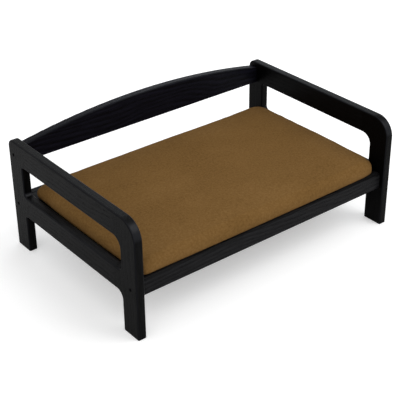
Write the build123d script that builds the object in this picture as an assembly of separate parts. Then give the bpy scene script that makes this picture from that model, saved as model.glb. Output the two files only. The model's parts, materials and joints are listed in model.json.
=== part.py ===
from build123d import *
import os

os.makedirs("parts", exist_ok=True)

# A low wooden sofa for a dog. Lengths are in millimetres, the floor is at Z = 0, the front faces
# -Y, the length runs along X, and the origin is the middle of the space under the bed.

# Whole bed
BED_LENGTH = 900
BED_DEPTH = 595
ARM_HEIGHT = 337.5

# Boards of the frame
BOARD_THICKNESS = 25
EDGE_ROUND = 4
LEG_WIDTH = 64
FOOT_CHAMFER = 1

# Rails of a side frame
ARM_RAIL_WIDTH = 66.5
SIDE_RAIL_WIDTH = 64.5
SIDE_RAIL_UNDERSIDE = 114.5

# Corner curves of a side frame: the two top corners, then the corners beside each rail
FRONT_TOP_RADIUS = 56
REAR_TOP_RADIUS = 21
ARM_FRONT_RADIUS = 30
ARM_REAR_RADIUS = 7
WINDOW_FRONT_RADIUS = 14
WINDOW_REAR_RADIUS = 12
UNDER_FRONT_RADIUS = 22
UNDER_REAR_RADIUS = 7
SHOULDER_LAND = 4

# Front rail, rear rail and backrest
CROSS_RAIL_UNDERSIDE = 117
CROSS_RAIL_WIDTH = 49.5
FRONT_SETBACK = 14
REAR_SETBACK = 12
BACK_DROP = 15.5
BACK_END_WIDTH = 52.5
BACK_ARCH_RISE = 41

# Wooden dowels
DOWEL_DIAMETER = 8
DOWEL_LENGTH = 30
DOWEL_IN_LEG = 12
DOWEL_GAP = 0.1
DOWEL_END_GAP = 0.8
FRAME_DOWEL_SPACING = 30
CROSS_DOWEL_SPACING = 28

# Connector bolts with a hexagon socket, and their barrel nuts
BOLT_DIAMETER = 6
BOLT_HEAD_DIAMETER = 10
BOLT_HEAD_HEIGHT = 6
BOLT_HEAD_RECESS = 1
BOLT_HEAD_GAP = 0.4
BOLT_HOLE_GAP = 0.25
BOLT_PAST_NUT = 2
BOLT_END_GAP = 2
SOCKET_ACROSS_FLATS = 5
SOCKET_DEPTH = 3
NUT_DIAMETER = 10
NUT_LENGTH = 14
NUT_FROM_RAIL_END = 28
NUT_GAP = 0.1
NUT_SLOT_WIDTH = 1.2
NUT_SLOT_DEPTH = 1.5

# Cleats and slats
CLEAT_THICKNESS = 20
CLEAT_WIDTH = 22
CLEAT_END_GAP = 2
SLAT_COUNT = 8
SLAT_WIDTH = 70
SLAT_THICKNESS = 12
SLAT_END_GAP = 1
SLAT_SIDE_GAP = 2
BATTEN_ROUND = 2

# Countersunk screws
SLAT_SCREW_LENGTH = 25
SLAT_SCREW_DIAMETER = 3.5
CLEAT_SCREW_LENGTH = 32
CLEAT_SCREW_DIAMETER = 4
SCREW_HEAD_SHARE = 2
SCREW_TIP_SHARE = 1.5
SCREW_GAP = 0.1
# The cross in a screw's head, as shares of the head's width and of its depth
CROSS_SPAN_SHARE = 0.5
CROSS_WIDTH_SHARE = 0.14
CROSS_DEPTH_SHARE = 0.7

# Cushion
CUSHION_SIDE_GAP = 6
CUSHION_FRONT_SETBACK = 3
CUSHION_REAR_GAP = 24
CUSHION_REST_GAP = 0.3
CUSHION_HEIGHT = 40
CUSHION_CROWN = 7
CUSHION_CORNER_RADIUS = 22
CUSHION_SIDE_BOW = 5
CUSHION_FRONT_BOW = 3
CUSHION_TOP_ROUND = 19
CUSHION_BOTTOM_ROUND = 10
COVER_THICKNESS = 1.5
FOAM_GAP = 0.3
# Each step of the crown: how far in from the edge, of the half depth, and how high, of the crown
CROWN_STEP_SHARES = ((0.01, 0), (0.2, 0.56), (0.42, 0.86), (0.66, 1))

# Zip in the rear side of the cushion cover
ZIP_END_GAP = 119
ZIP_TAPE_WIDTH = 10
ZIP_TAPE_THICKNESS = 0.8
ZIP_CHAIN_WIDTH = 5
ZIP_CHAIN_RISE = 1.2
ZIP_STOP_LENGTH = 4
ZIP_RUNNING_GAP = 0.3
SLIDER_LENGTH = 9
SLIDER_WIDTH = 8
SLIDER_ROOF = 2
SLIDER_CORNER = 2
LUG_THICKNESS = 1
PULL_PIN_RADIUS = 0.6
PULL_PIN_GAP = 0.2
PULL_EYE_WALL = 0.7
PULL_WIDTH = 4
PULL_LENGTH = 18
PULL_THICKNESS = 1
PULL_TIP_RADIUS = 1.5
PULL_HOLE_RADIUS = 0.9

# One overrun for every cut that leaves a face, and how near two places count as one
CUT_OVERRUN = 1
SAME_PLACE = 0.01

# Places worked out from the sizes
outer_x = BED_LENGTH / 2
inner_x = outer_x - BOARD_THICKNESS
side_board_x = outer_x - BOARD_THICKNESS / 2
front_y = -BED_DEPTH / 2
rear_y = BED_DEPTH / 2
arm_underside = ARM_HEIGHT - ARM_RAIL_WIDTH
arm_rail_z = ARM_HEIGHT - ARM_RAIL_WIDTH / 2
side_rail_z = SIDE_RAIL_UNDERSIDE + SIDE_RAIL_WIDTH / 2
side_rail_top = SIDE_RAIL_UNDERSIDE + SIDE_RAIL_WIDTH
window_height = arm_underside - side_rail_top
cross_rail_top = CROSS_RAIL_UNDERSIDE + CROSS_RAIL_WIDTH
front_shoulder = max(ARM_FRONT_RADIUS, WINDOW_FRONT_RADIUS, UNDER_FRONT_RADIUS) + SHOULDER_LAND
rear_shoulder = max(ARM_REAR_RADIUS, WINDOW_REAR_RADIUS, UNDER_REAR_RADIUS) + SHOULDER_LAND
front_joint_y = front_y + LEG_WIDTH + front_shoulder
rear_joint_y = rear_y - LEG_WIDTH - rear_shoulder
front_rail_y = front_y + FRONT_SETBACK + BOARD_THICKNESS / 2
rear_rail_y = rear_y - REAR_SETBACK - BOARD_THICKNESS / 2
front_bed_y = front_rail_y + BOARD_THICKNESS / 2
rear_bed_y = rear_rail_y - BOARD_THICKNESS / 2
cross_rail_z = CROSS_RAIL_UNDERSIDE + CROSS_RAIL_WIDTH / 2
back_end_top = ARM_HEIGHT - BACK_DROP
back_underside = back_end_top - BACK_END_WIDTH
back_bolt_z = back_underside + BACK_END_WIDTH / 2
slat_underside = cross_rail_top - SLAT_THICKNESS
cleat_z = slat_underside - CLEAT_WIDTH / 2
cushion_bottom = cross_rail_top + CUSHION_REST_GAP
cushion_front = front_y + FRONT_SETBACK + CUSHION_FRONT_SETBACK
cushion_rear = rear_bed_y - CUSHION_REAR_GAP
cushion_half_length = inner_x - CUSHION_SIDE_GAP
zip_half_length = cushion_half_length - ZIP_END_GAP
zip_z = cushion_bottom + (CUSHION_HEIGHT + CUSHION_BOTTOM_ROUND - CUSHION_TOP_ROUND) / 2

# The three bolted joints at the left end: Y and Z of the bolt, and the underside of the board
bolted_joints = {
    "front_rail": (front_rail_y, cross_rail_z, CROSS_RAIL_UNDERSIDE),
    "rear_rail": (rear_rail_y, cross_rail_z, CROSS_RAIL_UNDERSIDE),
    "backrest": (rear_rail_y, back_bolt_z, back_underside),
}


def same(a, b):
    """True where two places are one."""
    return abs(a - b) < SAME_PLACE


def rod(radius, start, direction, length):
    """A round rod or drill from a start point."""
    centred = (Align.CENTER, Align.CENTER, Align.MIN)
    return Plane(origin=start, z_dir=direction) * Cylinder(radius, length, align=centred)


def block(low, high):
    """A box between its lowest and highest corners."""
    size = [b - a for a, b in zip(low, high)]
    return Pos(*low) * Box(*size, align=Align.MIN)


def bar_along_x(start_x, end_x, y, z, thickness, width, edge_round):
    """A straight bar along X with rounded long edges, its middle at Y and Z."""
    section = Plane(origin=(start_x, y, z), x_dir=(0, 1, 0), z_dir=(1, 0, 0))
    return extrude(section * RectangleRounded(thickness, width, edge_round), end_x - start_x)


def bar_along_y(start_y, end_y, x, z, thickness, width, edge_round):
    """A straight bar along Y with rounded long edges, its middle at X and Z."""
    section = Plane(origin=(x, start_y, z), x_dir=(1, 0, 0), z_dir=(0, 1, 0))
    return extrude(section * RectangleRounded(thickness, width, edge_round), end_y - start_y)


def mirrored(shape):
    """The same shape at the other end of the bed."""
    return mirror(shape, about=Plane.YZ)


# Dowels, and the holes that are a little larger than they are
def dowel(start, direction, gap=0.0, end_gap=0.0):
    """One dowel, or its hole where the gaps are given."""
    along = Vector(direction)
    first = Vector(start) - along * end_gap
    return rod(DOWEL_DIAMETER / 2 + gap, first, direction, DOWEL_LENGTH + 2 * end_gap)


def frame_dowels(gap=0.0, end_gap=0.0):
    """The dowels between the legs and the two rails of the left side frame."""
    made = []
    for joint_y in (front_joint_y, rear_joint_y):
        for middle_z in (arm_rail_z, side_rail_z):
            for step in (-FRAME_DOWEL_SPACING / 2, FRAME_DOWEL_SPACING / 2):
                start = (-side_board_x, joint_y - DOWEL_LENGTH / 2, middle_z + step)
                made.append(dowel(start, (0, 1, 0), gap, end_gap))
    return made


def cross_dowels(joint, gap=0.0, end_gap=0.0):
    """The two dowels beside the bolt of one joint at the left end."""
    y, z, _ = bolted_joints[joint]
    made = []
    for step in (-CROSS_DOWEL_SPACING / 2, CROSS_DOWEL_SPACING / 2):
        made.append(dowel((-inner_x - DOWEL_IN_LEG, y, z + step), (1, 0, 0), gap, end_gap))
    return made


# Bolts, barrel nuts and their holes
counterbore_depth = BOLT_HEAD_HEIGHT + BOLT_HEAD_RECESS
head_seat_x = -outer_x + counterbore_depth
nut_x = -inner_x + NUT_FROM_RAIL_END
bolt_end_x = nut_x + NUT_DIAMETER / 2 + BOLT_PAST_NUT


def connector_bolt(joint):
    """The bolt of one joint at the left end, with the hexagon socket in its head."""
    y, z, _ = bolted_joints[joint]
    shank = rod(BOLT_DIAMETER / 2, (head_seat_x, y, z), (1, 0, 0), bolt_end_x - head_seat_x)
    head = rod(BOLT_HEAD_DIAMETER / 2, (head_seat_x, y, z), (-1, 0, 0), BOLT_HEAD_HEIGHT)
    mouth = Plane(origin=(head_seat_x - BOLT_HEAD_HEIGHT, y, z), z_dir=(1, 0, 0))
    hexagon = RegularPolygon(SOCKET_ACROSS_FLATS / 2, side_count=6, major_radius=False)
    return shank + head - extrude(mouth * hexagon, SOCKET_DEPTH)


def barrel_nut(joint):
    """The nut that one bolt screws into, pushed up from the underside of its board."""
    y, z, _ = bolted_joints[joint]
    low_z = z - NUT_LENGTH / 2
    body = rod(NUT_DIAMETER / 2, (nut_x, y, low_z), (0, 0, 1), NUT_LENGTH)
    bore_start = (nut_x - NUT_DIAMETER, y, z)
    bore = rod(BOLT_DIAMETER / 2 + NUT_GAP, bore_start, (1, 0, 0), 2 * NUT_DIAMETER)
    slot = block(
        (nut_x - NUT_DIAMETER, y - NUT_SLOT_WIDTH / 2, low_z - CUT_OVERRUN),
        (nut_x + NUT_DIAMETER, y + NUT_SLOT_WIDTH / 2, low_z + NUT_SLOT_DEPTH),
    )
    return body - bore - slot


def joint_holes(joint):
    """All the holes of one joint at the left end: counterbore, bolt, nut and dowels."""
    y, z, underside = bolted_joints[joint]
    counterbore = rod(
        BOLT_HEAD_DIAMETER / 2 + BOLT_HEAD_GAP,
        (-outer_x - CUT_OVERRUN, y, z),
        (1, 0, 0),
        counterbore_depth + CUT_OVERRUN,
    )
    bolt_run = bolt_end_x + BOLT_END_GAP + outer_x
    bolt_hole = rod(BOLT_DIAMETER / 2 + BOLT_HOLE_GAP, (-outer_x, y, z), (1, 0, 0), bolt_run)
    nut_start = underside - CUT_OVERRUN
    nut_run = z + NUT_LENGTH / 2 - nut_start
    nut_hole = rod(NUT_DIAMETER / 2 + NUT_GAP, (nut_x, y, nut_start), (0, 0, 1), nut_run)
    return [counterbore, bolt_hole, nut_hole] + cross_dowels(joint, DOWEL_GAP, DOWEL_END_GAP)


# Side frames
def window_corner(radius):
    """The radius of a corner of the window, no more than the window's height leaves room for."""
    return min(radius, (window_height - SHOULDER_LAND) / 2)


def leg_board(shoulder, under_radius, low_radius, high_radius, top_radius):
    """A leg with its outer edge on Y = 0, shaped so that its shoulders meet the two rails."""
    reach = LEG_WIDTH + shoulder
    points = [
        (0, 0),
        (LEG_WIDTH, 0),
        (LEG_WIDTH, SIDE_RAIL_UNDERSIDE),
        (reach, SIDE_RAIL_UNDERSIDE),
        (reach, side_rail_top),
        (LEG_WIDTH, side_rail_top),
        (LEG_WIDTH, arm_underside),
        (reach, arm_underside),
        (reach, ARM_HEIGHT),
        (0, ARM_HEIGHT),
    ]
    low_corner = window_corner(low_radius)
    high_corner = window_corner(high_radius)
    radii = [0, 0, under_radius, 0, 0, low_corner, high_corner, 0, 0, top_radius]
    outline = make_face(FilletPolyline(*points, radius=radii, close=True))
    board = extrude(Plane.YZ * outline, BOARD_THICKNESS)
    long_edges = []
    for edge in board.faces().filter_by(Axis.X).edges():
        middle = edge.center()
        if not same(middle.Y, reach) and not same(middle.Z, 0):
            long_edges.append(edge)
    board = fillet(long_edges, EDGE_ROUND)
    foot = board.faces().sort_by(Axis.Z)[0]
    return chamfer(foot.edges(), FOOT_CHAMFER)


def front_leg():
    """The left front leg, with its large top corner."""
    board = leg_board(
        front_shoulder, UNDER_FRONT_RADIUS, WINDOW_FRONT_RADIUS, ARM_FRONT_RADIUS, FRONT_TOP_RADIUS
    )
    board = Pos(-outer_x, front_y, 0) * board
    return board - joint_holes("front_rail") - frame_dowels(DOWEL_GAP, DOWEL_END_GAP)


def rear_leg():
    """The left rear leg, with its small top corner."""
    board = leg_board(
        rear_shoulder, UNDER_REAR_RADIUS, WINDOW_REAR_RADIUS, ARM_REAR_RADIUS, REAR_TOP_RADIUS
    )
    board = Pos(-outer_x, rear_y, 0) * mirror(board, about=Plane.XZ)
    board = board - joint_holes("rear_rail") - joint_holes("backrest")
    return board - frame_dowels(DOWEL_GAP, DOWEL_END_GAP)


def frame_rail(middle_z, width):
    """A rail of the left side frame, between the shoulders of its legs."""
    rail = bar_along_y(
        front_joint_y, rear_joint_y, -side_board_x, middle_z, BOARD_THICKNESS, width, EDGE_ROUND
    )
    return rail - frame_dowels(DOWEL_GAP, DOWEL_END_GAP)


# Boards from one side frame to the other
def both_ends(make, joint):
    """The pieces or holes of one joint, at the left end and the right end."""
    made = make(joint)
    made = list(made) if isinstance(made, list) else [made]
    return made + [mirrored(piece) for piece in made]


def cross_rail(joint, y):
    """The front rail or the rear rail."""
    rail = bar_along_x(
        -inner_x, inner_x, y, cross_rail_z, BOARD_THICKNESS, CROSS_RAIL_WIDTH, EDGE_ROUND
    )
    return rail - both_ends(joint_holes, joint)


def backrest():
    """The board between the rear legs, flat below and arched above."""
    low_left = (-inner_x, back_underside)
    low_right = (inner_x, back_underside)
    high_right = (inner_x, back_end_top)
    high_left = (-inner_x, back_end_top)
    peak = (0, back_end_top + BACK_ARCH_RISE)
    outline = make_face(
        [
            Line(low_left, low_right),
            Line(low_right, high_right),
            ThreePointArc(high_right, peak, high_left),
            Line(high_left, low_left),
        ]
    )
    rear_face_y = rear_rail_y + BOARD_THICKNESS / 2
    rear_face = Plane(origin=(0, rear_face_y, 0), x_dir=(1, 0, 0), z_dir=(0, -1, 0))
    board = extrude(rear_face * outline, BOARD_THICKNESS)
    long_edges = []
    for edge in board.faces().filter_by(Axis.Y).edges():
        if not same(abs(edge.center().X), inner_x):
            long_edges.append(edge)
    board = fillet(long_edges, EDGE_ROUND)
    return board - both_ends(joint_holes, "backrest")


# Screws
def cross_recess(head_width, head_depth):
    """The cross that the driver turns, open at the top of the head."""
    span = head_width * CROSS_SPAN_SHARE
    width = head_width * CROSS_WIDTH_SHARE
    height = head_depth * CROSS_DEPTH_SHARE * 2
    return Box(span, width, height) + Box(width, span, height)


def screw(head_centre, direction, length, diameter, gap=0.0):
    """A countersunk screw with its head flush, or its hole where a gap is given."""
    shank = diameter / 2
    head = shank * SCREW_HEAD_SHARE
    head_depth = head - shank
    tip = diameter * SCREW_TIP_SHARE
    profile = make_face(
        Polyline(
            (0, 0),
            (head + gap, 0),
            (shank + gap, head_depth),
            (shank + gap, length - tip),
            (0, length + gap),
            close=True,
        )
    )
    turned = revolve(Plane.XZ * profile, Axis.Z)
    if gap == 0:
        turned = turned - cross_recess(head * 2, head_depth)
    return Plane(origin=head_centre, z_dir=direction) * turned


first_slat_x = -inner_x + SLAT_SIDE_GAP + SLAT_WIDTH / 2
slat_pitch = -2 * first_slat_x / (SLAT_COUNT - 1)
slat_places = [first_slat_x + slat_pitch * index for index in range(SLAT_COUNT)]
cleat_screw_places = [x + slat_pitch / 2 for x in slat_places[::2]]
cleat_places = {
    "front": (front_bed_y + CLEAT_THICKNESS / 2, front_bed_y + CLEAT_THICKNESS, (0, -1, 0)),
    "rear": (rear_bed_y - CLEAT_THICKNESS / 2, rear_bed_y - CLEAT_THICKNESS, (0, 1, 0)),
}


def slat_screws(x, gap=0.0):
    """The two screws of the slat at one place along the bed."""
    made = []
    for middle_y, _, _ in cleat_places.values():
        head = (x, middle_y, cross_rail_top)
        made.append(screw(head, (0, 0, -1), SLAT_SCREW_LENGTH, SLAT_SCREW_DIAMETER, gap))
    return made


def cleat_screws(side, gap=0.0):
    """The screws through one cleat into its rail, in every second gap between the slats."""
    _, inner_y, direction = cleat_places[side]
    made = []
    for x in cleat_screw_places:
        head = (x, inner_y, cleat_z)
        made.append(screw(head, direction, CLEAT_SCREW_LENGTH, CLEAT_SCREW_DIAMETER, gap))
    return made


# Cleats and slats
def cleat(side):
    """The batten inside one rail that the slats rest on."""
    middle_y = cleat_places[side][0]
    end = inner_x - CLEAT_END_GAP
    batten = bar_along_x(-end, end, middle_y, cleat_z, CLEAT_THICKNESS, CLEAT_WIDTH, BATTEN_ROUND)
    for x in slat_places:
        batten = batten - slat_screws(x, SCREW_GAP)
    return batten - cleat_screws(side, SCREW_GAP)


def slat(x):
    """One slat, front to back, level with the tops of the rails."""
    start = front_bed_y + SLAT_END_GAP
    end = rear_bed_y - SLAT_END_GAP
    middle_z = cross_rail_top - SLAT_THICKNESS / 2
    board = bar_along_y(start, end, x, middle_z, SLAT_WIDTH, SLAT_THICKNESS, BATTEN_ROUND)
    return board - slat_screws(x, SCREW_GAP)


# Cushion
def cushion_outline(inset, corner_radius, z):
    """The cushion seen from above, its sides bowed between corners that are drawn in."""
    end_x = cushion_half_length - inset
    corner_x = end_x - CUSHION_SIDE_BOW
    front = cushion_front + inset
    corner_y = front + CUSHION_FRONT_BOW
    rear = cushion_rear - inset
    side_y = (corner_y + rear) / 2
    sides = make_face(
        [
            ThreePointArc((-corner_x, corner_y), (0, front), (corner_x, corner_y)),
            ThreePointArc((corner_x, corner_y), (end_x, side_y), (corner_x, rear)),
            Line((corner_x, rear), (-corner_x, rear)),
            ThreePointArc((-corner_x, rear), (-end_x, side_y), (-corner_x, corner_y)),
        ]
    )
    return Pos(0, 0, z) * fillet(sides.vertices(), corner_radius)


def cushion_form(wall):
    """The crowned form of the cushion, drawn in all round by a wall."""
    bottom = cushion_bottom + wall
    height = CUSHION_HEIGHT - 2 * wall
    corner_radius = CUSHION_CORNER_RADIUS - wall
    block_form = extrude(cushion_outline(wall, corner_radius, bottom), height)
    top_edges = block_form.faces().sort_by(Axis.Z)[-1].edges()
    block_form = fillet(top_edges, CUSHION_TOP_ROUND - wall)
    bottom_edges = block_form.faces().sort_by(Axis.Z)[0].edges()
    block_form = fillet(bottom_edges, CUSHION_BOTTOM_ROUND - wall)
    half_depth = (cushion_rear - cushion_front) / 2
    steps = []
    for inset_share, rise_share in CROWN_STEP_SHARES:
        inset = CUSHION_TOP_ROUND + half_depth * inset_share
        top = bottom + height + CUSHION_CROWN * rise_share
        steps.append(cushion_outline(inset, corner_radius, top))
    return block_form + loft(steps)


def zip_tape():
    """The tape sewn into the cover, with the closed chain on it and a stop at each end."""
    end = zip_half_length
    stop_end = end - ZIP_STOP_LENGTH
    low = zip_z - ZIP_TAPE_WIDTH / 2
    high = zip_z + ZIP_TAPE_WIDTH / 2
    inner_y = cushion_rear - ZIP_TAPE_THICKNESS
    tape = block((-end, inner_y, low), (end, cushion_rear, high))
    chain_y = cushion_rear + ZIP_CHAIN_RISE
    chain_low = zip_z - ZIP_CHAIN_WIDTH / 2
    chain_high = zip_z + ZIP_CHAIN_WIDTH / 2
    chain = block((-end, inner_y, chain_low), (end, chain_y, chain_high))
    stop_y = chain_y + SLIDER_ROOF
    for start_x in (-end, stop_end):
        chain = chain + block(
            (start_x, inner_y, chain_low), (start_x + ZIP_STOP_LENGTH, stop_y, chain_high)
        )
    return tape + chain


def cushion_cover():
    """The sewn cover: a thin closed skin, with a groove for the zip in its rear side."""
    skin = cushion_form(0) - cushion_form(COVER_THICKNESS)
    end = zip_half_length
    groove = block(
        (-end, cushion_rear - ZIP_TAPE_THICKNESS, zip_z - ZIP_TAPE_WIDTH / 2),
        (end, cushion_rear + CUT_OVERRUN, zip_z + ZIP_TAPE_WIDTH / 2),
    )
    return skin - groove


# Slider and pull of the zip, with the zip closed
slider_x = zip_half_length - ZIP_STOP_LENGTH - ZIP_RUNNING_GAP - SLIDER_LENGTH / 2
slider_inner_y = cushion_rear + ZIP_RUNNING_GAP
channel_y = cushion_rear + ZIP_CHAIN_RISE + ZIP_RUNNING_GAP
slider_outer_y = channel_y + SLIDER_ROOF
pull_eye_radius = PULL_PIN_RADIUS + PULL_PIN_GAP + PULL_EYE_WALL
pull_pin_y = slider_outer_y + ZIP_RUNNING_GAP + pull_eye_radius


def zip_slider():
    """The saddle over the chain, with two lugs and the pin that holds the pull."""
    face = Plane(origin=(slider_x, slider_inner_y, zip_z), x_dir=(1, 0, 0), z_dir=(0, 1, 0))
    outline = face * RectangleRounded(SLIDER_LENGTH, SLIDER_WIDTH, SLIDER_CORNER)
    saddle = extrude(outline, slider_outer_y - slider_inner_y)
    channel_half = ZIP_CHAIN_WIDTH / 2 + ZIP_RUNNING_GAP
    channel = block(
        (slider_x - SLIDER_LENGTH, cushion_rear, zip_z - channel_half),
        (slider_x + SLIDER_LENGTH, channel_y, zip_z + channel_half),
    )
    saddle = saddle - channel
    lug_inner = PULL_WIDTH / 2 + ZIP_RUNNING_GAP
    pin_length = 2 * (lug_inner + LUG_THICKNESS)
    pin_start = zip_z - pin_length / 2
    pin = rod(PULL_PIN_RADIUS, (slider_x, pull_pin_y, pin_start), (0, 0, 1), pin_length)
    for low_z in (pin_start, zip_z + lug_inner):
        boss = rod(pull_eye_radius, (slider_x, pull_pin_y, low_z), (0, 0, 1), LUG_THICKNESS)
        foot = block(
            (slider_x - pull_eye_radius, channel_y, low_z),
            (slider_x + pull_eye_radius, pull_pin_y, low_z + LUG_THICKNESS),
        )
        saddle = saddle + boss + foot
    return saddle + pin


def zip_pull():
    """The tab that hangs on the pin of the slider and lies along the chain."""
    low_z = zip_z - PULL_WIDTH / 2
    eye = rod(pull_eye_radius, (slider_x, pull_pin_y, low_z), (0, 0, 1), PULL_WIDTH)
    plate_plane = Plane(
        origin=(slider_x - PULL_LENGTH / 2, pull_pin_y - PULL_THICKNESS / 2, zip_z),
        x_dir=(1, 0, 0),
        z_dir=(0, 1, 0),
    )
    outline = Rectangle(PULL_LENGTH, PULL_WIDTH)
    outline = fillet(outline.vertices().group_by(Axis.X)[0], PULL_TIP_RADIUS)
    hole = Pos((PULL_WIDTH - PULL_LENGTH) / 2, 0) * Circle(PULL_HOLE_RADIUS)
    plate = extrude(plate_plane * (outline - hole), PULL_THICKNESS)
    bore_start = (slider_x, pull_pin_y, low_z - CUT_OVERRUN)
    bore_length = PULL_WIDTH + 2 * CUT_OVERRUN
    bore = rod(PULL_PIN_RADIUS + PULL_PIN_GAP, bore_start, (0, 0, 1), bore_length)
    return eye + plate - bore


def group(pieces):
    """Separate solids that share one node."""
    return Compound(children=list(pieces))


def save(name, shape):
    """Writes one node."""
    export_step(shape, f"parts/{name}.step")


# Left side frame, and the right one as its mirror image
side_frame = {
    "front_leg": front_leg(),
    "rear_leg": rear_leg(),
    "arm_rail": frame_rail(arm_rail_z, ARM_RAIL_WIDTH),
    "side_rail": frame_rail(side_rail_z, SIDE_RAIL_WIDTH),
}
for piece_name, piece in side_frame.items():
    save(f"left_{piece_name}", piece)
    save(f"right_{piece_name}", mirrored(piece))
save("left_frame_dowels", group(frame_dowels()))
save("right_frame_dowels", group(mirrored(pin) for pin in frame_dowels()))

# Rails and backrest with their fasteners
front_rail = cross_rail("front_rail", front_rail_y) - cleat_screws("front", SCREW_GAP)
rear_rail = cross_rail("rear_rail", rear_rail_y) - cleat_screws("rear", SCREW_GAP)
save("front_rail", front_rail)
save("rear_rail", rear_rail)
save("backrest", backrest())
rail_dowels = []
connector_bolts = []
barrel_nuts = []
for joint_name in bolted_joints:
    rail_dowels += both_ends(cross_dowels, joint_name)
    connector_bolts += both_ends(connector_bolt, joint_name)
    barrel_nuts += both_ends(barrel_nut, joint_name)
save("rail_dowels", group(rail_dowels))
save("connector_bolts", group(connector_bolts))
save("barrel_nuts", group(barrel_nuts))

# Cleats, slats and their screws
all_slat_screws = []
for number, place in enumerate(slat_places, start=1):
    save(f"slat_{number}", slat(place))
    all_slat_screws += slat_screws(place)
save("slat_screws", group(all_slat_screws))
for side_name in cleat_places:
    save(f"{side_name}_cleat", cleat(side_name))
save("cleat_screws", group(cleat_screws("front") + cleat_screws("rear")))

# Cushion
save("cushion_cover", cushion_cover())
save("foam_core", cushion_form(COVER_THICKNESS + FOAM_GAP))
save("zip_tape", zip_tape())
save("zip_slider", zip_slider())
save("zip_pull", zip_pull())
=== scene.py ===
"""A raised dog bed: black-stained wooden frame, slats and a loose brown cushion.

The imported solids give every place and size. This script dresses the wooden and
metal nodes, and makes the sewn cover, the foam and the zip as pieces of their own.
Lengths are in metres.
"""

import json
import logging
import math
from collections.abc import Callable
from dataclasses import dataclass, field
from enum import Enum

import bmesh
import bpy
from mathutils import Matrix, Vector, noise

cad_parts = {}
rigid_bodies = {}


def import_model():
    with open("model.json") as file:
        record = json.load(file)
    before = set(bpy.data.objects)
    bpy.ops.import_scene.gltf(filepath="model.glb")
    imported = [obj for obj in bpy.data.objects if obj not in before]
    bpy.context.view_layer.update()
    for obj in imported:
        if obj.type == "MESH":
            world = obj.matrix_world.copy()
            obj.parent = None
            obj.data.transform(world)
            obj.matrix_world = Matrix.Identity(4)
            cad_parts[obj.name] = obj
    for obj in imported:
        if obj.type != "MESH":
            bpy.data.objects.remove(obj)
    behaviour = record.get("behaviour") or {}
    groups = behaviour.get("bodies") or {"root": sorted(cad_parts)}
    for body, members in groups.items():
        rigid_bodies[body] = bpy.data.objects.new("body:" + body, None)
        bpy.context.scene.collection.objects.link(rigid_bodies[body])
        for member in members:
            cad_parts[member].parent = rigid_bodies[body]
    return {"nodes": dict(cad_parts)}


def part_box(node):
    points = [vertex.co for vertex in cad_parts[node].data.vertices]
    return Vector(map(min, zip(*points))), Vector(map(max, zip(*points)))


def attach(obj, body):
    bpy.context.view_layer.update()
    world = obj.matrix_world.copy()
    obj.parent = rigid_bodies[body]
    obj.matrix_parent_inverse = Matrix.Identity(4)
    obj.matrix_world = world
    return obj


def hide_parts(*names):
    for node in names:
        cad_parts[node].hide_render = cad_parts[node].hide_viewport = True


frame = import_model()

log = logging.getLogger("raised_bed")

Colour = tuple[float, float, float, float]
Triple = tuple[float, float, float]
Piece = bpy.types.Object
Socket = bpy.types.NodeSocket
Sockets = bpy.types.bpy_prop_collection
Tree = bpy.types.NodeTree
Wanted = Callable[[Vector, Vector], bool]

WHITE = (1.0, 1.0, 1.0, 1.0)


class GrainRun(Enum):
    """The direction in which a board's grain runs, as the turn that lays it along X."""

    ALONG_X = (0.0, 0.0, 0.0)
    ALONG_Y = (0.0, 0.0, -math.pi / 2)
    ALONG_Z = (0.0, math.pi / 2, 0.0)


class BoardFace(Enum):
    """The direction in which a board is thin, square to its broad faces."""

    ACROSS_X = (1.0, 0.0, 0.0)
    ACROSS_Y = (0.0, 1.0, 0.0)
    ACROSS_Z = (0.0, 0.0, 1.0)


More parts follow.
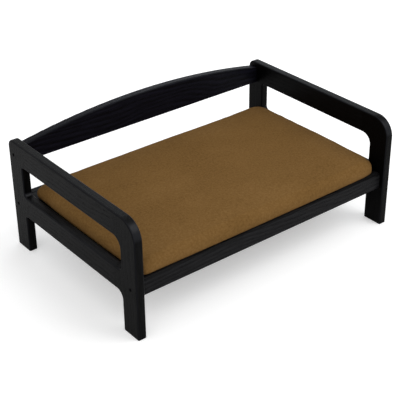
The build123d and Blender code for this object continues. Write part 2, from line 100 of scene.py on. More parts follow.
@dataclass
class NodeBench:
    """Adds nodes to one tree and links them.

    Attributes:
        tree: The node tree that is worked on.
    """

    tree: Tree

    def add(
        self, kind: str, wiring: dict[str | int, object] | None = None, **settings: object
    ) -> bpy.types.Node:
        """Adds one node.

        Args:
            kind: The node's type name.
            wiring: For each input, the socket that feeds it or its fixed value.
            **settings: Properties of the node itself.

        Returns:
            The new node.
        """
        node = self.tree.nodes.new(kind)
        for name, value in settings.items():
            setattr(node, name, value)
        for name, value in (wiring or {}).items():
            if isinstance(value, Socket):
                self.tree.links.new(value, node.inputs[name])
            else:
                node.inputs[name].default_value = value
        return node

    def calc(self, operation: str, first: object, second: object = 0.0) -> Socket:
        """Returns the outcome of one Math node."""
        return self.add("ShaderNodeMath", {0: first, 1: second}, operation=operation).outputs[0]

    def times(self, first: object, second: object) -> Socket:
        """Returns the product of two values."""
        return self.calc("MULTIPLY", first, second)

    def weigh(self, *parts: tuple[Socket, float]) -> Socket:
        """Adds values up.

        Args:
            *parts: Each value and its weight.

        Returns:
            The weighted sum.
        """
        total, *others = (self.times(value, weight) for value, weight in parts)
        for other in others:
            total = self.calc("ADD", total, other)
        return total

    def spread(
        self, value: object, low: float, high: float, start: float = 0.0, end: float = 1.0
    ) -> Socket:
        """Returns a value's stretch from low to high, mapped softly onto start to end."""
        wiring = {"Value": value, "From Min": low, "From Max": high, "To Min": start, "To Max": end}
        return self.add("ShaderNodeMapRange", wiring, interpolation_type="SMOOTHSTEP").outputs[0]

    def blend(self, factor: object, first: object, second: object) -> Socket:
        """Returns a mix of two colours, where the factor is the second one's share."""
        wiring = {0: factor, 6: first, 7: second}
        return self.add("ShaderNodeMix", wiring, data_type="RGBA").outputs[2]

    def speckle(
        self, vector: object, scale: object, detail: float = 2.0, roughness: float = 0.5
    ) -> Socket:
        """Returns a noise from 0 to 1, with about as many features per metre as its scale."""
        wiring = {"Vector": vector, "Scale": scale, "Detail": detail, "Roughness": roughness}
        return self.add("ShaderNodeTexNoise", wiring).outputs[0]

    def stretch(self, vector: object, factors: Triple) -> Socket:
        """Returns coordinates multiplied axis by axis."""
        wiring = {0: vector, 1: factors}
        return self.add("ShaderNodeVectorMath", wiring, operation="MULTIPLY").outputs[0]

    def part(self, vector: object, axis: str) -> Socket:
        """Returns a vector's part along one axis."""
        return self.add("ShaderNodeSeparateXYZ", {0: vector}).outputs[axis]

    def normal(self) -> Socket:
        """Returns the direction in which the surface faces."""
        return self.add("ShaderNodeNewGeometry").outputs["Normal"]


@dataclass
class EffectGroup(NodeBench):
    """A node group that several materials share.

    Attributes:
        name: The group's name.
        gives: Its outputs' names, all of them plain values.
        values: Its inputs' names that are plain values.
        vectors: Its inputs' names that are vectors.
    """

    tree: Tree = field(init=False)
    name: str
    gives: tuple[str, ...]
    values: tuple[str, ...] = ()
    vectors: tuple[str, ...] = ("Vector",)
    given: Sockets = field(init=False)
    made: Sockets = field(init=False)

    def __post_init__(self) -> None:
        """Makes the group with its sockets, and nothing between them."""
        self.tree = bpy.data.node_groups.new(self.name, "ShaderNodeTree")
        for names, way, kind in (
            (self.vectors, "INPUT", "NodeSocketVector"),
            (self.values, "INPUT", "NodeSocketFloat"),
            (self.gives, "OUTPUT", "NodeSocketFloat"),
        ):
            for name in names:
                self.tree.interface.new_socket(name=name, in_out=way, socket_type=kind)
        self.given = self.add("NodeGroupInput").outputs
        self.made = self.add("NodeGroupOutput").inputs

    def finish(self, *values: Socket) -> Tree:
        """Links the outputs.

        Args:
            *values: What feeds each output, in their order.

        Returns:
            The finished tree.
        """
        for name, value in zip(self.gives, values):
            self.tree.links.new(value, self.made[name])
        return self.tree


def open_grain() -> Tree:
    """Makes the group for open-pored wood whose grain runs along X.

    Returns:
        The group, which gives the growth rings, the fibres and the pores.
    """
    given = ("Ring Spacing", "Pore Share")
    group = EffectGroup("open_grain", ("Rings", "Fibres", "Pores"), given)
    given, vector = group.given, group.given["Vector"]
    wander = group.times(group.speckle(group.stretch(vector, (1.6, 5.0, 5.0)), 1.0), 0.08)
    aside = group.add("ShaderNodeCombineXYZ", {"X": 0.0, "Y": wander, "Z": wander}).outputs[0]
    bent = group.add("ShaderNodeVectorMath", {0: vector, 1: aside}, operation="ADD").outputs[0]
    long_rings = group.stretch(bent, (0.035, 1.0, 1.0))
    across = group.calc("ADD", group.part(long_rings, "Y"), group.part(long_rings, "Z"))
    lengthwise = group.calc("ADD", across, group.part(long_rings, "X"))
    saw = group.calc("FRACT", group.calc("DIVIDE", lengthwise, given["Ring Spacing"]))
    ring = group.times(group.spread(saw, 0.0, 0.75), group.spread(saw, 1.0, 0.86))
    fibres = group.speckle(group.stretch(vector, (0.03, 1.0, 1.0)), 620.0, 3.0, 0.6)
    pores = group.speckle(group.stretch(vector, (0.055, 1.0, 1.0)), 1350.0, 1.0, 0.5)
    crowded = group.calc("ADD", pores, group.times(group.calc("SUBTRACT", 0.5, ring), 0.12))
    edge = group.calc("SUBTRACT", 0.72, group.times(given["Pore Share"], 0.2))
    depth = group.calc("SUBTRACT", crowded, edge)
    return group.finish(ring, fibres, group.spread(depth, -0.02, 0.05))


def worn_edge() -> Tree:
    """Makes the group for the masks along a board's edges, where real patchy wear and painted light
    are laid: a highlight on most boards, a shadow on the front rail.

    Returns:
        The group, which gives the roundings, the patches of wear and the polished bends; the
        roundings and the bends also carry the painted light.
    """
    gives = ("Rounding", "Wear", "Bend")
    group = EffectGroup("worn_edge", gives, vectors=("Vector", "Thin Way"))
    given = group.given
    normal = group.normal()
    ways = {0: normal, 1: given["Thin Way"]}
    facing = group.add("ShaderNodeVectorMath", ways, operation="DOT_PRODUCT").outputs["Value"]
    lean = group.calc("ABSOLUTE", facing)
    rounding = group.times(group.spread(lean, 0.2, 0.6), group.spread(lean, 0.98, 0.8))
    patchy = group.spread(group.speckle(given["Vector"], 34.0, 4.0, 0.65), 0.45, 0.75)
    upward = group.part(normal, "Z")
    sloped = group.times(group.spread(upward, 0.05, 0.35), group.spread(upward, 0.97, 0.75))
    bend = group.times(sloped, group.spread(lean, 0.8, 0.4))
    return group.finish(rounding, group.times(rounding, patchy), bend)


def settled_dust() -> Tree:
    """Makes the group for fine dust and lint, which lies on what faces up.

    Returns:
        The group, which gives the mask of the dust.
    """
    group = EffectGroup("settled_dust", ("Dust",), ("Amount",))
    given = group.given
    film = group.spread(group.speckle(given["Vector"], 22.0, 5.0, 0.6), 0.35, 0.8)
    grit = group.spread(group.speckle(given["Vector"], 900.0, 2.0, 0.6), 0.62, 0.72)
    level = group.spread(group.part(group.normal(), "Z"), 0.55, 0.95)
    lying = group.times(group.weigh((film, 0.6), (grit, 0.4)), level)
    return group.finish(group.times(lying, given["Amount"]))


def short_pile() -> Tree:
    """Makes the group for a fine suede-like pile.

    Returns:
        The group, which gives the brushed patches, the mottling and the fibres.
    """
    group = EffectGroup("short_pile", ("Brushed", "Mottle", "Fibres"), ("Fibre Scale",))
    vector = group.given["Vector"]
    brushed = group.speckle(group.stretch(vector, (0.7, 1.0, 1.0)), 7.0, 3.0, 0.55)
    mottle = group.speckle(vector, 170.0, 3.0, 0.7)
    fibres = group.speckle(vector, group.given["Fibre Scale"], 3.0, 0.7)
    return group.finish(group.spread(brushed, 0.3, 0.7), group.spread(mottle, 0.3, 0.7), fibres)


def plain_weave() -> Tree:
    """Makes the group for a plain weave with threads along X and Z.

    Returns:
        The group, which gives the threads' height and their shade.
    """
    group = EffectGroup("plain_weave", ("Threads", "Shade"), ("Thread",))
    vector = group.given["Vector"]
    waves = []
    for axis in ("X", "Z"):
        turns = group.calc("DIVIDE", group.part(vector, axis), group.given["Thread"])
        waves.append(group.calc("SINE", group.times(turns, math.pi)))
    threads = group.spread(group.times(*waves), -1.0, 1.0)
    return group.finish(threads, group.speckle(vector, 700.0))


@dataclass
class MaterialDraft(NodeBench):
    """One material under work, with its shader and its object coordinates.

    Attributes:
        name: The material's name.
    """

    tree: Tree = field(init=False)
    name: str
    material: bpy.types.Material = field(init=False)
    shader: bpy.types.Node = field(init=False)
    surface: Socket = field(init=False)
    place: Socket = field(init=False)

    def __post_init__(self) -> None:
        """Makes the material with its shader and output."""
        self.material = bpy.data.materials.new(self.name)
        self.material.use_nodes = True
        self.tree = self.material.node_tree
        self.tree.nodes.clear()
        self.shader = self.add("ShaderNodeBsdfPrincipled")
        wiring = {"Surface": self.shader.outputs[0]}
        self.surface = self.add("ShaderNodeOutputMaterial", wiring).inputs["Surface"]
        self.place = self.add("ShaderNodeTexCoord").outputs["Object"]

    def fixed(self, **values: float | Colour) -> None:
        """Sets values that are the same all over, on the shader's own sockets."""
        for name, value in values.items():
            self.shader.inputs[name.replace("_", " ")].default_value = value

    def feed(self, name: str, socket: Socket) -> None:
        """Links a value that changes over the surface to one of the shader's inputs."""
        self.tree.links.new(socket, self.shader.inputs[name])

    def group(self, make: Callable[[], Tree], **values: object) -> Sockets:
        """Places a shared effect in the material, on its object coordinates.

        Args:
            make: Makes the effect's group, which is done once.
            **values: What the group's other inputs take, and Vector where it is turned.

        Returns:
            The outputs of the group's node.
        """
        tree = bpy.data.node_groups.get(make.__name__) or make()
        wiring = {name.replace("_", " "): value for name, value in values.items()}
        wiring.setdefault("Vector", self.place)
        return self.add("ShaderNodeGroup", wiring, node_tree=tree).outputs

    def relief(self, height: Socket, depth: float, strength: float) -> None:
        """Bumps the surface by a height from 0 to 1, which stands out by the depth."""
        wiring = {"Height": height, "Distance": depth, "Strength": strength}
        self.feed("Normal", self.add("ShaderNodeBump", wiring).outputs[0])


class Finish:
    """A named look, whose own lay method adds its nodes to a material under work."""

    def make(self) -> bpy.types.Material:
        """Returns a new material with the look on it."""
        draft = MaterialDraft(self.name)
        self.lay(draft)
        return draft.material


@dataclass(frozen=True)
class StainedWood(Finish):
    """Open-pored board wood under a black stain and a thin satin oil.

    Attributes:
        run: The direction of the grain.
        face: The direction in which the board is thin.
        stain: The stain's colour on the soft wood between the growth rings.
        late_wood: The slightly paler, harder part of each ring.
        pore: The colour of the open pores.
        rubbed: The colour laid on the edges: real wear where they are patchy, and a painted bluish
            highlight on the roundings and the bend; on the front rail a painted near-black shadow.
        dust: The colour of the fine dust on top.
        take: How pale this board is, where 1 is the mean; on the right side frame it is lowered as
            painted shade, and on the front rail it is raised, partly as painted light.
        rubbing: How strongly that edge colour is laid, where 1 is the mean.
        gloss: The roughness of the flat faces, where no pore opens.
        polish: The weight of the oil's shine on the bend of the arm.
        depth: How far the grain stands out.
    """

    run: GrainRun
    face: BoardFace
    stain: Triple = (0.0006, 0.0006, 0.0008)
    late_wood: Triple = (0.0085, 0.0084, 0.0090)
    pore: Colour = (0.0008, 0.0008, 0.0010, 1.0)
    rubbed: Colour = (0.0090, 0.0096, 0.0125, 1.0)
    dust: Colour = (0.13, 0.125, 0.12, 1.0)
    take: float = 1.0
    rubbing: float = 1.0
    gloss: float = 0.36
    polish: float = 0.16
    depth: float = 0.00035

    @property
    def name(self) -> str:
        """Returns the material's name, from the grain, the thin way and the shade."""
        return f"stained_{self.run.name}_{self.face.name}_{self.take:.2f}".lower()

    def lay(self, draft: MaterialDraft) -> None:
        """Lays the stain on the grain, then the edges with their wear and painted light, the dust
        and the oil.
        """
        turn = {"Vector": draft.place, "Rotation": self.run.value}
        turned = draft.add("ShaderNodeMapping", turn).outputs[0]
        grain = draft.group(open_grain, Vector=turned, Ring_Spacing=0.0150, Pore_Share=0.55)
        edge = draft.group(worn_edge, Thin_Way=self.face.value)
        dust = draft.group(settled_dust, Amount=0.03)["Dust"]
        streaks = draft.spread(grain["Fibres"], 0.32, 0.68)
        tone = draft.weigh((streaks, 0.58), (grain["Rings"], 0.38))
        soft, hard = (
            tuple(self.take * channel for channel in wood) + (1.0,)
            for wood in (self.stain, self.late_wood)
        )
        board = draft.blend(tone, soft, hard)
        pored = draft.blend(draft.times(grain["Pores"], 0.7), board, self.pore)
        # Painted light: besides the real patchy wear, the edge colour goes on every rounding and on
        # the arm's bend as a painted bluish highlight; on the front rail it is a painted shadow.
        wear_and_light_mask = draft.weigh((edge["Wear"], 0.4), (edge["Rounding"], 0.5), (edge["Bend"], 0.8))
        with_wear_and_light = draft.blend(draft.times(wear_and_light_mask, self.rubbing), pored, self.rubbed)
        draft.feed("Base Color", draft.blend(dust, with_wear_and_light, self.dust))
        draft.feed("Coat Weight", draft.times(edge["Bend"], self.polish))
        smooth_edge = draft.calc("SUBTRACT", self.gloss, draft.times(edge["Rounding"], 0.07))
        dull = draft.calc("ADD", smooth_edge, draft.times(grain["Pores"], 0.18))
        draft.feed("Roughness", draft.calc("ADD", dull, dust))
        raised = draft.calc("SUBTRACT", draft.times(tone, 0.45), draft.times(grain["Pores"], 0.5))
        draft.relief(raised, self.depth, 0.6)
        draft.fixed(Specular_IOR_Level=0.052, IOR=1.48, Coat_Roughness=0.3)


@dataclass(frozen=True)
class PlainBeech(Finish):
    """Unfinished beech with short dark flecks, for the dowels."""

    name = "plain_beech"
    wood: Colour = (0.56, 0.37, 0.20, 1.0)
    fleck: Colour = (0.33, 0.19, 0.09, 1.0)

    def lay(self, draft: MaterialDraft) -> None:
        """Lays the grain and its flecks."""
        grain = draft.group(open_grain, Ring_Spacing=0.003, Pore_Share=0.35)
        board = draft.blend(draft.times(grain["Rings"], 0.35), self.wood, self.fleck)
        draft.feed("Base Color", draft.blend(draft.times(grain["Pores"], 0.6), board, self.fleck))
        draft.feed("Roughness", draft.spread(grain["Fibres"], 0.2, 0.8, 0.6, 0.75))
        draft.relief(grain["Fibres"], 0.0001, 0.5)
        draft.fixed(Specular_IOR_Level=0.3)


@dataclass(frozen=True)
class FastenerSteel(Finish):
    """Plated or blackened steel with fine turning marks.

    Attributes:
        name: The finish's name.
        colour: Its colour.
        tarnish: The colour of its dull patches.
        metallic: Its metallic share.
        roughness: Its mean roughness.
        specular: How strongly it mirrors where it isn't metallic.
    """

    name: str
    colour: Colour
    tarnish: Colour
    metallic: float
    roughness: float
    specular: float = 0.5

    def lay(self, draft: MaterialDraft) -> None:
        """Lays the dull patches and the turning marks."""
        cloud = draft.spread(draft.speckle(draft.place, 260.0, 4.0, 0.6), 0.35, 0.7)
        marks = draft.speckle(draft.stretch(draft.place, (0.4, 0.4, 3.0)), 2600.0)
        draft.feed("Base Color", draft.blend(cloud, self.colour, self.tarnish))
        uneven = draft.weigh((cloud, 0.12), (marks, 0.08))
        draft.feed("Roughness", draft.calc("ADD", uneven, self.roughness - 0.1))
        draft.relief(marks, 0.00004, 0.4)
        draft.fixed(Metallic=self.metallic, Specular_IOR_Level=self.specular)


@dataclass(frozen=True)
class BrownSuede(Finish):
    """Fine short-pile suede-like cloth, brown, with a sewn line round its foot.

    Attributes:
        seam_z: The height of the sewn line.
        cloth: The pile's mean colour.
        shaded: Where the pile leans away.
        lifted: Where the pile leans towards the light.
        thread: The colour of the sewn line.
        depth: How far the pile stands out.
    """

    name = "brown_suede"
    seam_z: float
    cloth: Colour = (0.166, 0.0880, 0.0262, 1.0)
    shaded: Colour = (0.130, 0.0672, 0.0192, 1.0)
    lifted: Colour = (0.199, 0.1085, 0.0365, 1.0)
    thread: Colour = (0.05, 0.024, 0.009, 1.0)
    depth: float = 0.0006

    def lay(self, draft: MaterialDraft) -> None:
        """Lays the pile and the sewn line."""
        pile = draft.group(short_pile, Fibre_Scale=1500.0)
        fine = draft.spread(pile["Fibres"], 0.3, 0.7)
        nap = draft.weigh((pile["Brushed"], 0.22), (pile["Mottle"], 0.48), (fine, 0.30))
        low = draft.blend(draft.spread(nap, 0.15, 0.5), self.shaded, self.cloth)
        pile_colour = draft.blend(draft.spread(nap, 0.5, 0.85), low, self.lifted)
        off = draft.calc("SUBTRACT", draft.part(draft.place, "Z"), self.seam_z)
        seam = draft.spread(draft.calc("ABSOLUTE", off), 0.0013, 0.0003)
        draft.feed("Base Color", draft.blend(draft.times(seam, 0.7), pile_colour, self.thread))
        draft.feed("Roughness", draft.spread(pile["Mottle"], 0.0, 1.0, 0.86, 0.98))
        felt = draft.weigh((pile["Fibres"], 0.6), (pile["Mottle"], 0.4))
        draft.relief(draft.calc("SUBTRACT", felt, draft.times(seam, 1.6)), self.depth, 0.7)
        draft.fixed(Specular_IOR_Level=0.045, Sheen_Weight=0.03)
        draft.fixed(Sheen_Roughness=0.45, Sheen_Tint=(0.75, 0.55, 0.36, 1.0))


@dataclass(frozen=True)
class OpenCellFoam(Finish):
    """Cut cream foam with open cells."""

    name = "open_cell_foam"
    foam: Colour = (0.72, 0.66, 0.47, 1.0)
    aged: Colour = (0.70, 0.60, 0.36, 1.0)
    cell: Colour = (0.42, 0.36, 0.22, 1.0)

    def lay(self, draft: MaterialDraft) -> None:
        """Lays the cells and the yellowed patches."""
        wiring = {"Vector": draft.place, "Scale": 650.0}
        cells = draft.add("ShaderNodeTexVoronoi", wiring).outputs["Distance"]
        walls = draft.spread(cells, 0.05, 0.5)
        yellowed = draft.speckle(draft.place, 14.0, 3.0)
        body = draft.blend(draft.spread(yellowed, 0.35, 0.7), self.foam, self.aged)
        # The colour darkens into each cell's hollow, as painted shade.
        draft.feed("Base Color", draft.blend(draft.calc("SUBTRACT", 1.0, walls), body, self.cell))
        draft.feed("Roughness", draft.spread(yellowed, 0.3, 0.7, 0.9, 1.0))
        draft.relief(walls, 0.0006, 0.8)
        draft.fixed(Specular_IOR_Level=0.2)


@dataclass(frozen=True)
class WovenTape(Finish):
    """Woven tape or twisted thread in the brown of the cover.

    Attributes:
        name: The finish's name.
        colour: The threads' colour.
        thread: The spacing of the threads.
    """

    name: str
    colour: Colour
    thread: float

    def lay(self, draft: MaterialDraft) -> None:
        """Lays the weave."""
        weave = draft.group(plain_weave, Thread=self.thread)
        dark = tuple(0.55 * channel for channel in self.colour[:3]) + (1.0,)
        # Darker where the threads lie low, as painted shade between them, mixed with a random tone.
        shade = draft.weigh((weave["Threads"], 0.7), (weave["Shade"], 0.3))
        draft.feed("Base Color", draft.blend(shade, dark, self.colour))
        draft.feed("Roughness", draft.spread(weave["Shade"], 0.3, 0.7, 0.7, 0.85))
        draft.relief(weave["Threads"], 0.0002, 0.7)
        draft.fixed(Specular_IOR_Level=0.3)


@dataclass(frozen=True)
class MouldedCoil(Finish):
    """The zip's moulded nylon teeth, satin brown."""

    name = "moulded_coil"
    colour: Colour = (0.085, 0.045, 0.018, 1.0)
    scuffed: Colour = (0.12, 0.07, 0.032, 1.0)

    def lay(self, draft: MaterialDraft) -> None:
        """Lays the fine scuffs."""
        scuff = draft.spread(draft.speckle(draft.place, 1200.0, 3.0), 0.4, 0.7)
        draft.feed("Base Color", draft.blend(scuff, self.colour, self.scuffed))
        draft.feed("Roughness", draft.spread(scuff, 0.0, 1.0, 0.32, 0.5))
        draft.relief(scuff, 0.00003, 0.3)
        draft.fixed(Specular_IOR_Level=0.5)


def clamp(value: float) -> float:
    """Returns a value kept from 0 to 1."""
    return max(0.0, min(1.0, value))


def eased(value: float) -> float:
    """Returns a value kept from 0 to 1, with a soft start and end."""
    share = clamp(value)
    return share * share * (3.0 - 2.0 * share)


def stand_alone(obj: Piece) -> None:
    """Selects this object and nothing else, and makes it the active one."""
    for other in bpy.context.view_layer.objects:
        other.select_set(other is obj)
    bpy.context.view_layer.objects.active = obj


def place_in_mesh(obj: Piece, name: str) -> None:
    """Names a piece, and moves its place and turn into its mesh."""
    obj.name = obj.data.name = name
    bpy.ops.object.transform_apply(location=True, rotation=True, scale=True)


def block(name: str, low: Triple, high: Triple) -> Piece:
    """Adds a box primitive as the start of a piece, with its place in its mesh.

    Args:
        name: The object's name.
        low: The lowest corner.
        high: The highest corner.

    Returns:
        The new object.
    """
    low, high = Vector(low), Vector(high)
    bpy.ops.object.select_all(action="DESELECT")
    bpy.ops.mesh.primitive_cube_add(size=1.0, location=(low + high) / 2, scale=high - low)
    obj = bpy.context.active_object
    place_in_mesh(obj, name)
    return obj


def edit(obj: Piece, action: str) -> None:
    """Enters edit mode, where the action SELECT or DESELECT takes all or nothing."""
    stand_alone(obj)
    bpy.ops.object.mode_set(mode="EDIT")
    bpy.ops.mesh.select_all(action=action)


def pick(obj: Piece, kind: str, wanted: Wanted) -> None:
    """Enters edit mode with only some edges or faces selected.

    Args:
        obj: The piece.
        kind: EDGE or FACE.
        wanted: Says, from an edge's two ends or a face's middle and normal, which are taken.
    """
    edit(obj, "DESELECT")
    bpy.ops.mesh.select_mode(type=kind)
    mesh = bmesh.from_edit_mesh(obj.data)
    if kind == "EDGE":
        for edge in mesh.edges:
            edge.select_set(wanted(edge.verts[0].co, edge.verts[1].co))
    else:
        for face in mesh.faces:
            face.select_set(wanted(face.calc_center_median(), face.normal))
    bmesh.update_edit_mesh(obj.data)


def round_edges(obj: Piece, wanted: Wanted, radius: float, steps: int) -> None:
    """Rounds some edges of a piece.

    Args:
        obj: The piece.
        wanted: Says, from its two ends, whether an edge is rounded.
        radius: The rounding's radius.
        steps: How many faces it gets.
    """
    pick(obj, "EDGE", wanted)
    bpy.ops.mesh.bevel(
        offset=radius, offset_type="OFFSET", segments=steps, profile=0.5, affect="EDGES"
    )
    bpy.ops.object.mode_set(mode="OBJECT")


def inset_rear(obj: Piece, *steps: tuple[float, float]) -> None:
    """Insets the faces that look to the rear.

    Args:
        obj: The piece.
        *steps: Each inset's width, and how far it stands out.
    """
    pick(obj, "FACE", lambda centre, normal: normal.y > 0.99)
    for thickness, depth in steps:
        bpy.ops.mesh.inset(thickness=thickness, depth=depth)
    bpy.ops.object.mode_set(mode="OBJECT")


def smooth(obj: Piece, angle: float = 40.0) -> None:
    """Shades a piece smooth, up to an angle in degrees."""
    stand_alone(obj)
    bpy.ops.object.shade_smooth_by_angle(angle=math.radians(angle))


def apply_all(obj: Piece) -> None:
    """Applies every modifier of a piece, in order."""
    stand_alone(obj)
    for modifier in list(obj.modifiers):
        bpy.ops.object.modifier_apply(modifier=modifier.name)


def repeat(obj: Piece, count: int, step: float) -> None:
    """Repeats a piece along X.

    Args:
        obj: The piece.
        count: How many there are in all.
        step: The distance from one to the next.
    """
    array = obj.modifiers.new("row", "ARRAY")
    array.use_relative_offset = False
    array.use_constant_offset = True
    array.constant_offset_displace = (step, 0.0, 0.0)
    array.count = count
    apply_all(obj)


def dress(obj: Piece, material: bpy.types.Material) -> None:
    """Gives a piece its finish, in all of its material slots."""
    if not obj.material_slots:
        obj.data.materials.append(material)
    for slot in obj.material_slots:
        slot.material = material


@dataclass
class WoodenFrame:
    """The side frames, rails, backrest, cleats and slats, as the solids give them.

    Attributes:
        slats: How many slats there are.
        side_takes: How pale each side frame's legs and rails are; the right frame's much lower
            values are painted shade, for its inner faces that lie in shade.
        bluish: The backrest's late wood, tinted blue as a painted cast of the bluish light it
            reflects.
        full_stain: A near-black laid twice as strongly on the front rail's rounded edges, as
            painted shade for the shadow under the cushion's overhang.
    """

    slats: int = 8
    # The right frame's lower values paint shade into its colour: its inner faces, turned to the
    # middle, lie in shade.
    side_takes: tuple[tuple[str, float, float], ...] = (("left", 0.5, 0.88), ("right", 0.2, 0.35))
    bluish: Triple = (0.0088, 0.0088, 0.0150)
    full_stain: Colour = (0.0003, 0.0003, 0.0004, 1.0)

    def boards(self) -> dict[str, StainedWood]:
        """Lists the boards.

        Returns:
            For each node, its finish, with its grain, its thin direction and its shade.
        """
        found = {}
        for side, leg_tone_and_shade, rail_tone_and_shade in self.side_takes:
            leg = StainedWood(GrainRun.ALONG_Z, BoardFace.ACROSS_X, take=leg_tone_and_shade)
            found |= {f"{side}_{place}_leg": leg for place in ("front", "rear")}
            rail = StainedWood(GrainRun.ALONG_Y, BoardFace.ACROSS_X, take=rail_tone_and_shade)
            found |= {f"{side}_{place}_rail": rail for place in ("arm", "side")}
        lying = (GrainRun.ALONG_X, BoardFace.ACROSS_Y)
        for piece in ("rear_rail", "front_cleat", "rear_cleat"):
            found[piece] = StainedWood(*lying)
        # The backrest's late wood carries a painted bluish cast of the reflected light.
        found["backrest"] = StainedWood(*lying, late_wood=self.bluish)
        # The front rail is paler than the other boards, partly its own tone and partly painted
        # light on its lit front face; its rounded edges get a near-black painted shadow for the
        # shade under the cushion.
        found["front_rail"] = StainedWood(*lying, take=2.1, rubbed=self.full_stain, rubbing=2.0)
        for number in range(1, self.slats + 1):
            found[f"slat_{number}"] = StainedWood(GrainRun.ALONG_Y, BoardFace.ACROSS_Z)
        return found

    def dress(self) -> None:
        """Stains every board along its own grain."""
        made: dict[StainedWood, bpy.types.Material] = {}
        for node, finish in self.boards().items():
            if finish not in made:
                made[finish] = finish.make()
            dress(frame["nodes"][node], made[finish])
            log.info("stained %s with its grain %s", node, finish.run.name.lower())


@dataclass
class Fasteners:
    """Dowels, connector bolts, barrel nuts and screws, as the solids give them."""

    zinc: FastenerSteel = FastenerSteel(
        "zinc_plate", (0.58, 0.59, 0.60, 1.0), (0.42, 0.43, 0.43, 1.0), 1.0, 0.38
    )
    black: FastenerSteel = FastenerSteel(
        "black_oxide", (0.0020, 0.0020, 0.0022, 1.0), (0.0040, 0.0038, 0.0036, 1.0), 0.0, 0.6, 0.03
    )

    def dress(self) -> None:
        """Gives each fastener its finish."""
        for finish, *nodes in (
            (PlainBeech(), "left_frame_dowels", "right_frame_dowels", "rail_dowels"),
            (self.zinc, "barrel_nuts", "cleat_screws", "slat_screws"),
            (self.black, "connector_bolts"),
        ):
            material = finish.make()
            for node in nodes:
                dress(frame["nodes"][node], material)
                log.info("finished %s as %s", node, material.name)


def foam_form(name: str, mesh_size: float, push: float) -> Piece:
    """Copies the foam solid's form into a new piece and remeshes it evenly.

    Args:
        name: The new object's name.
        mesh_size: The side of a remeshed face.
        push: How far the form is pushed outwards.

    Returns:
        The new piece.
    """
    obj = bpy.data.objects.new(name, frame["nodes"]["foam_core"].data.copy())
    obj.data.name = name
    bpy.context.scene.collection.objects.link(obj)
    edit(obj, "SELECT")
    bpy.ops.mesh.remove_doubles(threshold=0.00002)
    bpy.ops.object.mode_set(mode="OBJECT")
    remesh = obj.modifiers.new("remesh", "REMESH")
    remesh.mode = "VOXEL"
    remesh.voxel_size = mesh_size
    thicken = obj.modifiers.new("thicken", "DISPLACE")
    thicken.mid_level = 0.0
    thicken.strength = push
    apply_all(obj)
    obj.data.materials.clear()
    return obj


